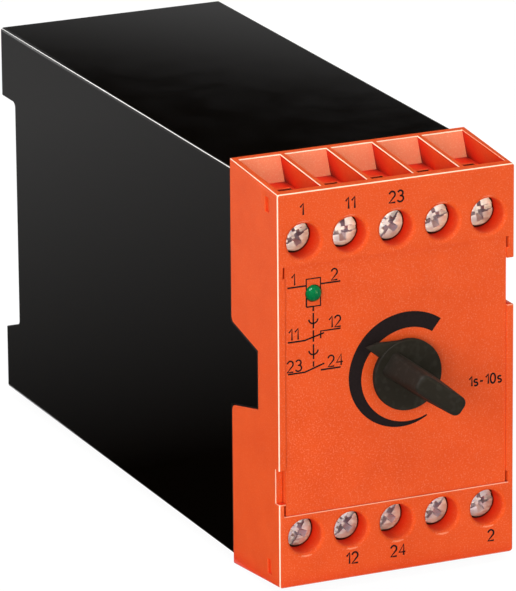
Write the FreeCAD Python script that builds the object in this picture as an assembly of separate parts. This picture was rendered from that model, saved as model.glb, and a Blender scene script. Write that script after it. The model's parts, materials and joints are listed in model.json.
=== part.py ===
import FreeCAD, Part
import math
import os

from FreeCAD import Vector

# A time relay for a 35 mm rail: black housing, orange terminal hood, setting knob.
# X runs to the right, Y to the rear and Z up, in millimetres.
# The origin is on the rail's centre line, in the plane where the rail's lips seat.
# Depths are measured to the rear from the front face of the hood.

# Overall sizes
module_width = 45.0
hood_height = 74.0
module_depth = 124.0

# Hood
skirt_depth = 19.5
hood_corner_radius = 0.6
hood_rear_corner_radius = 0.25
hood_front_rounding = 0.3
hood_taper = 1.55
hood_notch_rounding = 1.2
window_wall = 1.4
terminal_band = 14.55
plate_ledge_width = 1.0
plate_ledge_depth = 1.2
spigot_length = 3.0
spigot_thickness = 1.4
spigot_side_gap = 2.0

# Terminals, one row along the top of the hood and one along the bottom
terminal_side_wall = 1.125
terminal_divider = 1.0
terminal_row_from_edge = 10.4
terminal_shelf = 1.15
cell_from_edge = 6.0
funnel_floor_thickness = 1.5
funnel_front_wall = 1.75
funnel_rear_wall = 1.4
funnel_rear_lean = 1.9
funnel_cut_overrun = 2.0
wire_hole_side_wall = 0.675
wire_hole_behind_plate = 0.9
well_depth = 5.4
well_rounding = 0.7
well_head_play = 0.3
board_seat_from_rear = 2.9

# Terminal hardware
screw_head_radius = 2.8
screw_head_height = 2.2
screw_head_rounding = 0.35
screw_shank_radius = 1.75
screw_end_gap = 0.4
driver_slot_width = 0.9
driver_slot_depth = 1.0
driver_cross_length = 3.8
driver_cross_width = 1.1
driver_cross_depth = 1.5
clamp_thickness = 1.0
clamp_reach = 3.1
clamp_side_play = 0.3
clamp_shelf_play = 0.3
clamp_corner = 0.8
clamp_screw_play = 0.1
clamp_open_gap = 0.25
clamp_closed_gap = 0.25
head_to_clamp_play = 0.05
thread_play = 0.05
wire_space = 5.1
terminal_plate_thickness = 1.0
terminal_plate_side_play = 0.1
terminal_plate_neck_play = 0.2
terminal_plate_top_drop = 0.3
terminal_tail_width = 2.4
terminal_tail_thickness = 1.0
terminal_tail_stub = 1.0

# How far each screw is driven in from its open place, left to right, and how its slot is turned
top_driven_in = (0.6, 0.05, 0.05, 0.2, 0.4)
bottom_driven_in = (0.3, 0.05, 0.9, 0.4, 0.05)
top_head_turns = (28.0, 4.0, 52.0, 18.0, 10.0)
bottom_head_turns = (62.0, 45.0, 50.0, 42.0, 16.0)

# Small cuts in the hood's side walls
catch_slot_width = 0.4
catch_slot_height = 2.0
catch_slot_depth = 1.0
pry_notch_bottom = 10.0
pry_notch_top = 18.5
pry_notch_depth = 3.6
grip_notch_bottom = -20.2
grip_notch_top = -14.1
grip_notch_depth = 1.5
dimple_front = 3.4
dimple_width = 1.6
dimple_height = 2.6
dimple_from_edge = 3.0
dimple_depth = 0.5

# Front plate
plate_set_back = 0.3
plate_thickness = 1.5
plate_play = 0.03

# Rear housing
housing_step = 1.65
housing_corner_radius = 0.6
housing_wall = 1.8
rear_wall = 2.0
rail_recess_depth = 6.3
recess_above_rail = 4.75
recess_below_rail = 3.55
recess_bottom_slope = 2.15
recess_rounding = 1.0
rail_half_width = 17.5
rail_lip = 1.0
rail_play = 0.1
hook_overlap = 1.5
hook_half_width = 10.0
hook_length = 4.8
hook_lead_in = 1.6
tongue_front = 8.5
tongue_root_half_height = 7.72
tongue_tip_half_height = 5.3
tongue_play = 0.1
tongue_corner = 0.8

# Rail latch and its spring, in a channel in the lower rear edge of the housing
latch_half_width = 8.0
latch_thickness = 3.8
latch_play = 0.1
latch_bottom_set_back = 0.2
latch_nose_land = 1.0
latch_nose_slope_drop = 4.5
latch_channel_wall = 1.8
latch_window_half_width = 3.2
latch_window_from_end = 4.15
latch_window_below_recess = 0.3
latch_slot_half_width = 2.5
latch_slot_height = 1.8
latch_slot_from_end = 0.8
peg_height = 1.5
peg_length = 2.8
spring_strip = 0.35
spring_width = 2.4
spring_runs = 4
spring_side_play = 0.4

# Setting knob and potentiometer
knob_x = 1.4
knob_z = 0.55
knob_disc_radius = 6.4
knob_disc_gap = 0.8
knob_disc_thickness = 1.2
knob_disc_rounding = 0.2
knob_height = 15.0
wing_base_length = 9.8
wing_base_thickness = 4.6
wing_base_corner = 0.9
wing_top_length = 10.5
wing_top_thickness = 3.5
wing_top_corner = 1.3
wing_rounding = 0.7
pointer_angle = 143.5
pointer_reach = 9.8
pointer_shoulder_reach = 8.3
pointer_shoulder_width = 1.8
pointer_straight_side = 0.2
pointer_root_angle = 62.0
pointer_root_inset = 0.2
pointer_thickness = 1.0
knob_hub_radius = 3.4
knob_hub_play = 0.2
knob_hub_length = 3.0
shaft_radius = 2.0
shaft_in_knob = 9.0
shaft_play = 0.05
shaft_end_gap = 0.2
shaft_in_body = 2.6
potentiometer_width = 10.0
potentiometer_height = 11.0
potentiometer_depth = 5.2

# Lamp
led_from_window_side = 5.44
led_from_window_top = 5.35
led_radius = 1.475
led_proud = 1.2
led_length = 6.0
led_flange_radius = 1.8
led_flange_thickness = 1.0
led_play = 0.075
lead_radius = 0.25
lead_spacing = 1.27

# Circuit boards and the parts on the main board
board_thickness = 1.6
front_board_play = 0.2
tail_slot_play = 0.1
main_board_from_wall = 5.9
main_board_rear_gap = 3.7
main_board_spigot_gap = 0.35
guide_rib_thickness = 1.1
guide_rib_reach = 1.5
guide_rib_from_spigot = 3.5
guide_rib_play = 0.1
relay_length = 29.0
relay_width = 12.7
relay_height = 15.7
relay_from_front_board = 11.8
relay_z = 8.0
transformer_length = 32.0
transformer_width = 27.0
transformer_height = 22.0
transformer_from_board_rear = 8.0
transformer_z = -20.0
capacitor_radius = 5.0
capacitor_height = 20.0
capacitor_from_relay = 2.0
capacitor_from_board_top = 11.7
chip_length = 19.3
chip_width = 6.4
chip_height = 3.5
chip_from_front_board = 15.8
chip_z = -16.0
chip_leg_pairs = 8
chip_leg_pitch = 2.54
chip_leg_width = 0.5
chip_leg_thickness = 0.3
chip_stand_off = 0.6
rectifier_radius = 4.5
rectifier_height = 5.0
rectifier_from_board_rear = 20.0
rectifier_from_board_top = 11.7
component_rounding = 0.6

# Values worked out from the sizes above
front_y = rail_recess_depth - module_depth
half_width = module_width / 2
half_hood = hood_height / 2
half_hood_front = half_hood - hood_taper
half_housing = half_hood - housing_step
window_half_width = half_width - window_wall
window_half_height = half_hood - terminal_band
terminals_in_row = len(top_driven_in)
cell_width = (module_width - 2 * terminal_side_wall
              - (terminals_in_row - 1) * terminal_divider) / terminals_in_row
terminal_pitch = cell_width + terminal_divider
terminal_row_height = half_hood - terminal_row_from_edge
cell_shelf_z = window_half_height + terminal_shelf
cell_half_height_limit = half_hood - cell_from_edge
funnel_floor_z = cell_half_height_limit + funnel_floor_thickness
well_radius = screw_head_radius + well_head_play
board_seat_depth = skirt_depth - board_seat_from_rear
terminal_plate_front = well_depth + wire_space
wire_hole_width = cell_width - 2 * wire_hole_side_wall
wire_hole_rear = terminal_plate_front + terminal_plate_thickness + wire_hole_behind_plate
open_head_depth = well_depth + clamp_open_gap - head_to_clamp_play - screw_head_height
closed_head_depth = (terminal_plate_front - clamp_closed_gap - clamp_thickness
                     - head_to_clamp_play - screw_head_height)
screw_shank_length = board_seat_depth - screw_end_gap - closed_head_depth - screw_head_height
seat_depth = module_depth - rail_recess_depth
plate_front = plate_set_back
plate_rear = plate_set_back + plate_thickness
front_board_rear = board_seat_depth + board_thickness
housing_inner_half_width = half_width - housing_wall
housing_inner_half_height = half_housing - housing_wall
main_board_x = main_board_from_wall - housing_inner_half_width
main_board_rear = seat_depth - rear_wall - main_board_rear_gap
main_board_half_height = housing_inner_half_height - tongue_play - spigot_thickness - main_board_spigot_gap
component_face = main_board_x + board_thickness
guide_rib_front = skirt_depth + spigot_length + guide_rib_from_spigot
relay_front = front_board_rear + relay_from_front_board
chip_front = front_board_rear + chip_from_front_board
capacitor_depth = relay_front + relay_length + capacitor_from_relay + capacitor_radius
transformer_front = main_board_rear - transformer_from_board_rear - transformer_length
rectifier_depth = main_board_rear - rectifier_from_board_rear
capacitor_z = main_board_half_height - capacitor_from_board_top
rectifier_z = main_board_half_height - rectifier_from_board_top
led_x = led_from_window_side - window_half_width
led_z = window_half_height - led_from_window_top
knob_disc_rear = plate_front - knob_disc_gap
knob_disc_front = knob_disc_rear - knob_disc_thickness
knob_front = plate_front - knob_height
recess_top = rail_half_width + recess_above_rail
recess_bottom_inner = -rail_half_width - recess_below_rail
recess_bottom_outer = recess_bottom_inner - recess_bottom_slope
channel_rear = module_depth - latch_channel_wall
channel_front = channel_rear - latch_thickness - 2 * latch_play
lip_rear = seat_depth + rail_lip + rail_play
latch_nose_top = hook_overlap - rail_half_width
latch_bottom = latch_bottom_set_back - half_housing
latch_window_bottom = latch_bottom + latch_window_from_end
latch_window_top = recess_bottom_outer - latch_window_below_recess
spring_foot = latch_window_bottom + latch_play + peg_height
spring_rise = (latch_window_top - spring_foot - spring_strip) / (spring_runs - 1)
terminal_xs = [(i - (terminals_in_row - 1) / 2) * terminal_pitch for i in range(terminals_in_row)]


def point(x, depth, z):
    return Vector(x, front_y + depth, z)


def block(x0, x1, depth0, depth1, z0, z1):
    return Part.makeBox(x1 - x0, depth1 - depth0, z1 - z0, point(x0, depth0, z0))


def prism(outline, x0, x1):
    """Outline of (depth, z) points, pushed along X."""
    corners = [point(x0, depth, z) for depth, z in outline]
    face = Part.Face(Part.makePolygon(corners + corners[:1]))
    return face.extrude(Vector(x1 - x0, 0, 0))


def rod(x, z, radius, depth0, depth1):
    return Part.makeCylinder(radius, depth1 - depth0, point(x, depth0, z), Vector(0, 1, 0))


def upside_down(shape):
    return shape.mirror(Vector(0, 0, 0), Vector(0, 0, 1))


def other_side(shape):
    return shape.mirror(Vector(0, 0, 0), Vector(1, 0, 0))


def turned(shape, x, z, degrees):
    """Turned anticlockwise, as seen from the front, about an axis along Y."""
    result = shape.copy()
    result.rotate(point(x, 0, z), Vector(0, -1, 0), degrees)
    return result


def rounded(shape, radius, wanted):
    """Rounds the edges whose every vertex passes the test."""
    edges = [e for e in shape.Edges if e.Vertexes and all(wanted(v.Point) for v in e.Vertexes)]
    return shape.makeFillet(radius, edges)


def near(a, b):
    return abs(a - b) < 1e-6


def rounded_across(shape, radius, wanted):
    """Rounds the edges along X whose ends pass the test."""
    edges = []
    for edge in shape.Edges:
        start, end = (v.Point for v in (edge.Vertexes[0], edge.Vertexes[-1]))
        if near(start.y, end.y) and near(start.z, end.z) and wanted(start):
            edges.append(edge)
    return shape.makeFillet(radius, edges)


def rounded_corners(shell, radius):
    """Rounds the four outer corners of a shell, along its whole depth."""
    edges = []
    for edge in shell.Edges:
        start, end = (v.Point for v in edge.Vertexes)
        at_side = near(abs(start.x), half_width) and near(start.x, end.x)
        along_depth = near(start.z, end.z) or start.z * end.z > 0
        if at_side and along_depth and abs(end.y - start.y) > skirt_depth / 2 and abs(start.z) > half_hood / 2:
            edges.append(edge)
    return shell.makeFillet(radius, edges)


def tapered_corners(shell, front_radius, rear_radius):
    """Rounds the four outer corners of a shell along its depth, with one radius in front and one at the rear."""
    for side in (-1, 1):
        for level in (-1, 1):
            for edge in shell.Edges:
                start, end = edge.valueAt(edge.FirstParameter), edge.valueAt(edge.LastParameter)
                at_corner = near(start.x, side * half_width) and near(end.x, side * half_width) and start.z * level > half_hood / 2
                if at_corner and end.z * level > half_hood / 2 and abs(end.y - start.y) > skirt_depth / 2:
                    break
            if start.y < end.y:
                shell = shell.makeFillet(front_radius, rear_radius, [edge])
            else:
                shell = shell.makeFillet(rear_radius, front_radius, [edge])
    return shell


def hood_half_height(depth):
    return half_hood_front + hood_taper * min(depth, skirt_depth) / skirt_depth


# Hood

def funnel_cut(x):
    """Wire funnel open at the top, with a rear wall that leans forward towards the floor."""
    mouth_rear = skirt_depth - funnel_rear_wall
    mouth_z = hood_half_height(mouth_rear)
    foot_rear = mouth_rear - funnel_rear_lean
    over_z = mouth_z + funnel_cut_overrun
    over_rear = mouth_rear + funnel_rear_lean * funnel_cut_overrun / (mouth_z - funnel_floor_z)
    outline = [
        (funnel_front_wall, funnel_floor_z),
        (foot_rear, funnel_floor_z),
        (over_rear, over_z),
        (funnel_front_wall, over_z),
    ]
    return prism(outline, x - cell_width / 2, x + cell_width / 2)


def well_cut(x):
    """Screw well whose mouth rolls over into the hood's front."""
    def at(radius, depth):
        return point(x + radius, depth, terminal_row_height)

    bend = well_rounding * (1 - math.sqrt(0.5))
    mouth, neck = at(well_radius + well_rounding, 0), at(well_radius, well_rounding)
    outline = [
        Part.LineSegment(at(0, 0), mouth).toShape(),
        Part.Arc(mouth, at(well_radius + bend, bend), neck).toShape(),
        Part.LineSegment(neck, at(well_radius, well_depth)).toShape(),
        Part.LineSegment(at(well_radius, well_depth), at(0, well_depth)).toShape(),
        Part.LineSegment(at(0, well_depth), at(0, 0)).toShape(),
    ]
    return Part.Face(Part.Wire(outline)).revolve(at(0, 0), Vector(0, 1, 0), 360)


def terminal_cuts(x):
    """Everything cut out of the hood for one terminal of the top row."""
    well = well_cut(x)
    cell = block(x - cell_width / 2, x + cell_width / 2, well_depth, board_seat_depth,
                 cell_shelf_z, cell_half_height_limit)
    hole = block(x - wire_hole_width / 2, x + wire_hole_width / 2, well_depth, wire_hole_rear,
                 cell_half_height_limit, funnel_floor_z)
    return [well, cell, hole, funnel_cut(x)]


def tongue_outline(play):
    """Trapezium of the notch for a side tongue, or of the tongue itself, smaller by its play."""
    root = tongue_root_half_height - play
    tip = tongue_tip_half_height - play
    front = tongue_front + play
    return [(skirt_depth, -root), (front, -tip), (front, tip), (skirt_depth, root)]


def side_cuts():
    """Tongue notches, catch slots, pry notches and dimples in the two side walls."""
    cuts = []
    notch = prism(tongue_outline(0), window_half_width, half_width)
    slot = block(window_half_width, window_half_width + catch_slot_width, 0, catch_slot_depth,
                 window_half_height - catch_slot_height, window_half_height)
    dimple_top = half_hood - dimple_from_edge
    dimple = block(half_width - dimple_depth, half_width, dimple_front, dimple_front + dimple_width,
                   dimple_top - dimple_height, dimple_top)
    for cut in (notch, slot, dimple, upside_down(slot), upside_down(dimple)):
        cuts += [cut, other_side(cut)]
    cuts.append(block(window_half_width, half_width, 0, pry_notch_depth, pry_notch_bottom, pry_notch_top))
    cuts.append(block(-half_width, -window_half_width, 0, grip_notch_depth, grip_notch_bottom, grip_notch_top))
    return cuts


def front_hood():
    outline = [
        (0, -half_hood_front),
        (skirt_depth, -half_hood),
        (skirt_depth, half_hood),
        (0, half_hood_front),
    ]
    hood = prism(outline, -half_width, half_width)
    hood = tapered_corners(hood, hood_corner_radius, hood_rear_corner_radius)
    hood = rounded(hood, hood_front_rounding, lambda p: near(p.y, front_y))
    window = block(-window_half_width, window_half_width, 0, skirt_depth,
                   -window_half_height, window_half_height)
    rear_opening = block(-window_half_width, window_half_width, board_seat_depth, skirt_depth,
                         -cell_half_height_limit, cell_half_height_limit)
    cuts = [window, rear_opening] + side_cuts()
    for x in terminal_xs:
        for cut in terminal_cuts(x):
            cuts += [cut, upside_down(cut)]
    hood = hood.cut(cuts)
    rear_y = front_y + skirt_depth
    hood = rounded_across(hood, hood_notch_rounding, lambda p: near(p.y, rear_y) and near(abs(p.z), tongue_root_half_height))
    ledge = block(window_half_width - plate_ledge_width, window_half_width, plate_rear,
                  plate_rear + plate_ledge_depth, -window_half_height, window_half_height)
    spigot_top = housing_inner_half_height - tongue_play
    spigot_half_width = housing_inner_half_width - spigot_side_gap
    spigot = block(-spigot_half_width, spigot_half_width, skirt_depth, skirt_depth + spigot_length,
                   spigot_top - spigot_thickness, spigot_top)
    return hood.fuse([ledge, other_side(ledge), spigot, upside_down(spigot)]).removeSplitter()


def front_plate():
    half_x = window_half_width - plate_play
    half_z = window_half_height - plate_play
    plate = block(-half_x, half_x, plate_front, plate_rear, -half_z, half_z)
    shaft_hole = rod(knob_x, knob_z, knob_hub_radius + knob_hub_play, plate_front, plate_rear)
    lamp_hole = rod(led_x, led_z, led_radius + led_play, plate_front, plate_rear)
    return plate.cut([shaft_hole, lamp_hole])


# Housing

def rail_hook():
    """Fixed hook that hangs behind the upper lip of the rail."""
    stop_z = rail_half_width + rail_play
    lip_z = rail_half_width - hook_overlap
    end = seat_depth + hook_length
    outline = [
        (seat_depth, recess_top),
        (seat_depth, stop_z),
        (lip_rear, stop_z),
        (lip_rear, lip_z),
        (end - hook_lead_in, lip_z),
        (end, lip_z + hook_lead_in),
        (end, recess_top),
    ]
    return prism(outline, -hook_half_width, hook_half_width)


def guide_ribs():
    """Pairs of ribs along the top and bottom walls that hold the main board's edges."""
    ribs = []
    left = main_board_x - guide_rib_play
    right = component_face + guide_rib_play
    low = main_board_half_height - guide_rib_reach
    for x0 in (left - guide_rib_thickness, right):
        rib = block(x0, x0 + guide_rib_thickness, guide_rib_front, main_board_rear,
                    low, housing_inner_half_height)
        ribs += [rib, upside_down(rib)]
    return ribs


def rear_housing():
    outline = [
        (skirt_depth, -half_housing),
        (module_depth, -half_housing),
        (module_depth, recess_bottom_outer),
        (seat_depth, recess_bottom_inner),
        (seat_depth, recess_top),
        (module_depth, recess_top),
        (module_depth, half_housing),
        (skirt_depth, half_housing),
    ]
    housing = prism(outline, -half_width, half_width)
    housing = rounded_corners(housing, housing_corner_radius)
    housing = rounded_across(housing, recess_rounding, lambda p: near(p.y, 0)
                             and (near(p.z, recess_top) or near(p.z, recess_bottom_inner)))
    inner_x = housing_inner_half_width
    inner_z = housing_inner_half_height
    cavity = block(-inner_x, inner_x, skirt_depth, seat_depth - rear_wall, -inner_z, inner_z)
    upper_pocket = block(-inner_x, inner_x, seat_depth - rear_wall, module_depth - rear_wall,
                         recess_top + rear_wall, inner_z)
    pocket_x = latch_half_width + latch_play + housing_wall
    lower_pocket = block(pocket_x, inner_x, seat_depth - rear_wall, module_depth - rear_wall,
                         -inner_z, recess_bottom_outer - rear_wall)
    channel = block(-latch_half_width - latch_play, latch_half_width + latch_play, channel_front, channel_rear,
                    -half_housing, 0)
    housing = housing.cut([cavity, upper_pocket, lower_pocket, other_side(lower_pocket), channel])
    tongue = prism(tongue_outline(tongue_play), window_half_width, half_width)
    tongue = rounded_across(tongue, tongue_corner, lambda p: near(p.y - front_y, tongue_front + tongue_play))
    peg_x = latch_window_half_width - 2 * latch_play
    peg_bottom = latch_window_bottom + latch_play
    peg = block(-peg_x, peg_x, channel_front, channel_front + peg_length, peg_bottom, peg_bottom + peg_height)
    solids = [tongue, other_side(tongue), rail_hook(), peg] + guide_ribs()
    return housing.fuse(solids).removeSplitter()


def rail_latch():
    front = channel_front + latch_play
    rear = channel_rear - latch_play
    neck = recess_bottom_inner + recess_rounding
    outline = [
        (front, latch_bottom),
        (front, neck),
        (lip_rear, neck + lip_rear - front),
        (lip_rear, latch_nose_top),
        (lip_rear + latch_nose_land, latch_nose_top),
        (rear, latch_nose_top - latch_nose_slope_drop),
        (rear, latch_bottom),
    ]
    latch = prism(outline, -latch_half_width, latch_half_width)
    window = block(-latch_window_half_width, latch_window_half_width, front, rear,
                   latch_window_bottom, latch_window_top)
    slot_bottom = latch_bottom + latch_slot_from_end
    slot = block(-latch_slot_half_width, latch_slot_half_width, front, rear,
                 slot_bottom, slot_bottom + latch_slot_height)
    return latch.cut([window, slot])


def latch_spring():
    """Flat strip folded to and fro between the housing's peg and the top of the latch's window."""
    bend_radius = (spring_rise + spring_strip) / 2
    half_length = latch_window_half_width - spring_side_play - bend_radius
    depth0 = channel_front + (peg_length - spring_width) / 2
    depth1 = depth0 + spring_width
    solids = []
    for i in range(spring_runs):
        z = spring_foot + i * spring_rise
        solids.append(block(-half_length, half_length, depth0, depth1, z, z + spring_strip))
    for i in range(spring_runs - 1):
        side = 1 if i % 2 == 0 else -1
        z = spring_foot + i * spring_rise + bend_radius
        centre_x = side * half_length
        outer = rod(centre_x, z, bend_radius, depth0, depth1)
        inner = rod(centre_x, z, bend_radius - spring_strip, depth0, depth1)
        end_x = centre_x + side * spring_rise
        half = block(min(centre_x, end_x), max(centre_x, end_x), depth0, depth1,
                     z - spring_rise, z + spring_rise)
        solids.append(outer.cut(inner).common(half))
    return solids[0].fuse(solids[1:]).removeSplitter()


# Terminal hardware of the top row, made at x = 0 and set where each terminal is

def terminal_screw(head_depth, turn):
    under_head = head_depth + screw_head_height
    head = rod(0, terminal_row_height, screw_head_radius, head_depth, under_head)
    head = rounded(head, screw_head_rounding, lambda p: near(p.y - front_y, head_depth))
    shank = rod(0, terminal_row_height, screw_shank_radius, under_head, under_head + screw_shank_length)
    shank_end = under_head + screw_shank_length
    shank = shank.makeChamfer(screw_head_rounding, [
        e for e in shank.Edges if all(near(v.Point.y - front_y, shank_end) for v in e.Vertexes)])
    slot = block(-screw_head_radius, screw_head_radius, head_depth, head_depth + driver_slot_depth,
                 terminal_row_height - driver_slot_width / 2, terminal_row_height + driver_slot_width / 2)
    arm = block(-driver_cross_width / 2, driver_cross_width / 2, head_depth, head_depth + driver_cross_depth,
                terminal_row_height - driver_cross_length / 2, terminal_row_height + driver_cross_length / 2)
    cross_arm = turned(arm, 0, terminal_row_height, 90)
    screw = head.fuse(shank).removeSplitter().cut([slot, arm, cross_arm])
    return turned(screw, 0, terminal_row_height, turn)


def terminal_clamp(head_depth):
    front = head_depth + screw_head_height + head_to_clamp_play
    half_x = cell_width / 2 - clamp_side_play
    clamp = block(-half_x, half_x, front, front + clamp_thickness,
                  cell_shelf_z + clamp_shelf_play, terminal_row_height + clamp_reach)
    corners = [e for e in clamp.Edges if near(e.Vertexes[0].Point.x, e.Vertexes[-1].Point.x)
               and near(e.Vertexes[0].Point.z, e.Vertexes[-1].Point.z)]
    clamp = clamp.makeChamfer(clamp_corner, corners)
    hole = rod(0, terminal_row_height, screw_shank_radius + clamp_screw_play, front, front + clamp_thickness)
    return clamp.cut(hole)


def terminal_plate():
    """Threaded plate that stands on the cell's shelf, with a tail through the front board."""
    front = terminal_plate_front
    rear = front + terminal_plate_thickness
    half_x = cell_width / 2 - terminal_plate_side_play
    neck_x = wire_hole_width / 2 - terminal_plate_neck_play
    shoulder = cell_half_height_limit - terminal_plate_neck_play
    body = block(-half_x, half_x, front, rear, cell_shelf_z, shoulder)
    neck = block(-neck_x, neck_x, front, rear, shoulder, funnel_floor_z - terminal_plate_top_drop)
    tail = block(-terminal_tail_width / 2, terminal_tail_width / 2, rear, front_board_rear + terminal_tail_stub,
                 cell_shelf_z, cell_shelf_z + terminal_tail_thickness)
    plate = body.fuse([neck, tail]).removeSplitter()
    return plate.cut(rod(0, terminal_row_height, screw_shank_radius + thread_play, front, rear))


def terminal_pieces():
    pieces = {}
    rows = (
        ("top", top_driven_in, top_head_turns, False),
        ("bottom", bottom_driven_in, bottom_head_turns, True),
    )
    for row, driven_in, turns, below in rows:
        for i, x in enumerate(terminal_xs):
            head_depth = open_head_depth + driven_in[i]
            made = {
                "screw": terminal_screw(head_depth, -turns[i] if below else turns[i]),
                "clamp": terminal_clamp(head_depth),
                "plate": terminal_plate(),
            }
            for kind, shape in made.items():
                shape.translate(Vector(x, 0, 0))
                pieces[f"terminal_{kind}_{row}_{i + 1}"] = upside_down(shape) if below else shape
    return pieces


# Knob and potentiometer

def wing_outline(depth, length, thickness, corner):
    """Long outline with rounded corners, centred on the knob's axis and laid along X."""
    bend = corner * (1 - math.sqrt(0.5))

    def at(reach, across):
        return point(knob_x + reach, depth, knob_z + across)

    edges = []
    x, z = length / 2, thickness / 2
    for side, level in ((1, 1), (1, -1), (-1, -1), (-1, 1)):
        across_end = at(side * (x - corner), level * z)
        along_end = at(side * x, level * (z - corner))
        middle = at(side * (x - bend), level * (z - bend))
        if side == level:
            edges.append(Part.Arc(across_end, middle, along_end).toShape())
            edges.append(Part.LineSegment(along_end, at(side * x, -level * (z - corner))).toShape())
        else:
            edges.append(Part.Arc(along_end, middle, across_end).toShape())
            edges.append(Part.LineSegment(across_end, at(-side * (x - corner), level * z)).toShape())
    return Part.Wire(edges)


def time_knob():
    disc = rod(knob_x, knob_z, knob_disc_radius, knob_disc_front, knob_disc_rear)
    disc = rounded(disc, knob_disc_rounding, lambda p: near(p.y - front_y, knob_disc_front))
    wing = Part.makeLoft([wing_outline(knob_disc_front, wing_base_length, wing_base_thickness, wing_base_corner),
                          wing_outline(knob_front, wing_top_length, wing_top_thickness, wing_top_corner)], True, True)
    wing = rounded(wing, wing_rounding, lambda p: near(p.y - front_y, knob_front))
    root_radius = knob_disc_radius - pointer_root_inset
    root_angle = math.radians(pointer_root_angle)
    outline = [
        (0, pointer_straight_side),
        (root_radius, pointer_straight_side),
        (pointer_reach, 0),
        (pointer_shoulder_reach, -pointer_shoulder_width),
        (root_radius * math.cos(root_angle), -root_radius * math.sin(root_angle)),
        (0, -pointer_shoulder_width),
    ]
    corners = [point(knob_x + reach, knob_disc_rear, knob_z + across) for reach, across in outline]
    pointer = Part.Face(Part.makePolygon(corners + corners[:1])).extrude(Vector(0, -pointer_thickness, 0))
    hub = rod(knob_x, knob_z, knob_hub_radius, knob_disc_rear, knob_disc_rear + knob_hub_length)
    bore = rod(knob_x, knob_z, shaft_radius, plate_front - shaft_in_knob - shaft_end_gap,
               knob_disc_rear + knob_hub_length)
    knob = disc.fuse([wing, pointer, hub]).removeSplitter().cut(bore)
    return turned(knob, knob_x, knob_z, pointer_angle)


def potentiometer_front():
    return board_seat_depth - potentiometer_depth


def potentiometer_shaft():
    rear = potentiometer_front() + shaft_in_body
    return rod(knob_x, knob_z, shaft_radius, plate_front - shaft_in_knob, rear)


def potentiometer_body():
    front = potentiometer_front()
    body = block(knob_x - potentiometer_width / 2, knob_x + potentiometer_width / 2, front, board_seat_depth,
                 knob_z - potentiometer_height / 2, knob_z + potentiometer_height / 2)
    return body.cut(rod(knob_x, knob_z, shaft_radius + shaft_play, front, front + shaft_in_body + shaft_end_gap))


# Lamp

def led_rear():
    return plate_front - led_proud + led_length


def status_led():
    tip = plate_front - led_proud
    dome = Part.makeSphere(led_radius, point(led_x, tip + led_radius, led_z))
    barrel = rod(led_x, led_z, led_radius, tip + led_radius, led_rear())
    flange = rod(led_x, led_z, led_flange_radius, led_rear() - led_flange_thickness, led_rear())
    return dome.fuse([barrel, flange]).removeSplitter()


def led_leads():
    leads = [rod(led_x + side * lead_spacing, led_z, lead_radius, led_rear(), board_seat_depth)
             for side in (-0.5, 0.5)]
    return Part.makeCompound(leads)


# Boards and components

def front_board():
    half_x = window_half_width - front_board_play
    half_z = cell_half_height_limit - front_board_play
    board = block(-half_x, half_x, board_seat_depth, front_board_rear, -half_z, half_z)
    slots = []
    for x in terminal_xs:
        half_slot = terminal_tail_width / 2 + tail_slot_play
        slot = block(x - half_slot, x + half_slot, board_seat_depth, front_board_rear,
                     cell_shelf_z - tail_slot_play, cell_shelf_z + terminal_tail_thickness + tail_slot_play)
        slots += [slot, upside_down(slot)]
    return board.cut(slots)


def main_board():
    """Board along the housing, with a narrower nose that passes through the hood's rear opening."""
    shoulder = skirt_depth + main_board_spigot_gap
    nose_half_height = cell_half_height_limit - front_board_play
    nose = block(main_board_x, component_face, front_board_rear, shoulder, -nose_half_height, nose_half_height)
    board = block(main_board_x, component_face, shoulder, main_board_rear,
                  -main_board_half_height, main_board_half_height)
    return board.fuse(nose).removeSplitter()


def upright(depth, z, radius, height):
    """Round component standing on the main board."""
    return Part.makeCylinder(radius, height, point(component_face, depth, z), Vector(1, 0, 0))


def output_relay():
    relay = block(component_face, component_face + relay_height, relay_front, relay_front + relay_length,
                  relay_z, relay_z + relay_width)
    return rounded(relay, component_rounding, lambda p: near(p.x, component_face + relay_height))


def supply_transformer():
    """Encapsulated transformer block."""
    top = component_face + transformer_height
    body = block(component_face, top, transformer_front, transformer_front + transformer_length,
                 transformer_z, transformer_z + transformer_width)
    return rounded(body, component_rounding, lambda p: near(p.x, top))


def smoothing_capacitor():
    can = upright(capacitor_depth, capacitor_z, capacitor_radius, capacitor_height)
    return rounded(can, component_rounding, lambda p: near(p.x, component_face + capacitor_height))


def bridge_rectifier():
    return upright(rectifier_depth, rectifier_z, rectifier_radius, rectifier_height)


def timer_chip():
    low = component_face + chip_stand_off
    body = block(low, low + chip_height, chip_front, chip_front + chip_length, chip_z, chip_z + chip_width)
    first_leg = chip_front + (chip_length - (chip_leg_pairs - 1) * chip_leg_pitch - chip_leg_width) / 2
    legs = []
    for i in range(chip_leg_pairs):
        depth = first_leg + i * chip_leg_pitch
        for z in (chip_z - chip_leg_thickness, chip_z + chip_width):
            legs.append(block(component_face, low + chip_height / 2, depth, depth + chip_leg_width,
                              z, z + chip_leg_thickness))
    return body.fuse(legs).removeSplitter()


def main():
    pieces = {
        "front_hood": front_hood(),
        "front_plate": front_plate(),
        "rear_housing": rear_housing(),
        "rail_latch": rail_latch(),
        "latch_spring": latch_spring(),
        "time_knob": time_knob(),
        "potentiometer_shaft": potentiometer_shaft(),
        "potentiometer_body": potentiometer_body(),
        "status_led": status_led(),
        "led_leads": led_leads(),
        "front_board": front_board(),
        "main_board": main_board(),
        "output_relay": output_relay(),
        "supply_transformer": supply_transformer(),
        "smoothing_capacitor": smoothing_capacitor(),
        "timer_chip": timer_chip(),
        "bridge_rectifier": bridge_rectifier(),
    }
    pieces.update(terminal_pieces())
    os.makedirs("parts", exist_ok=True)
    for name, shape in pieces.items():
        shape.exportStep(f"parts/{name}.step")
        print(name, len(shape.Solids), "solid, valid", shape.isValid(), "volume", round(shape.Volume, 2))


main()
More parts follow.
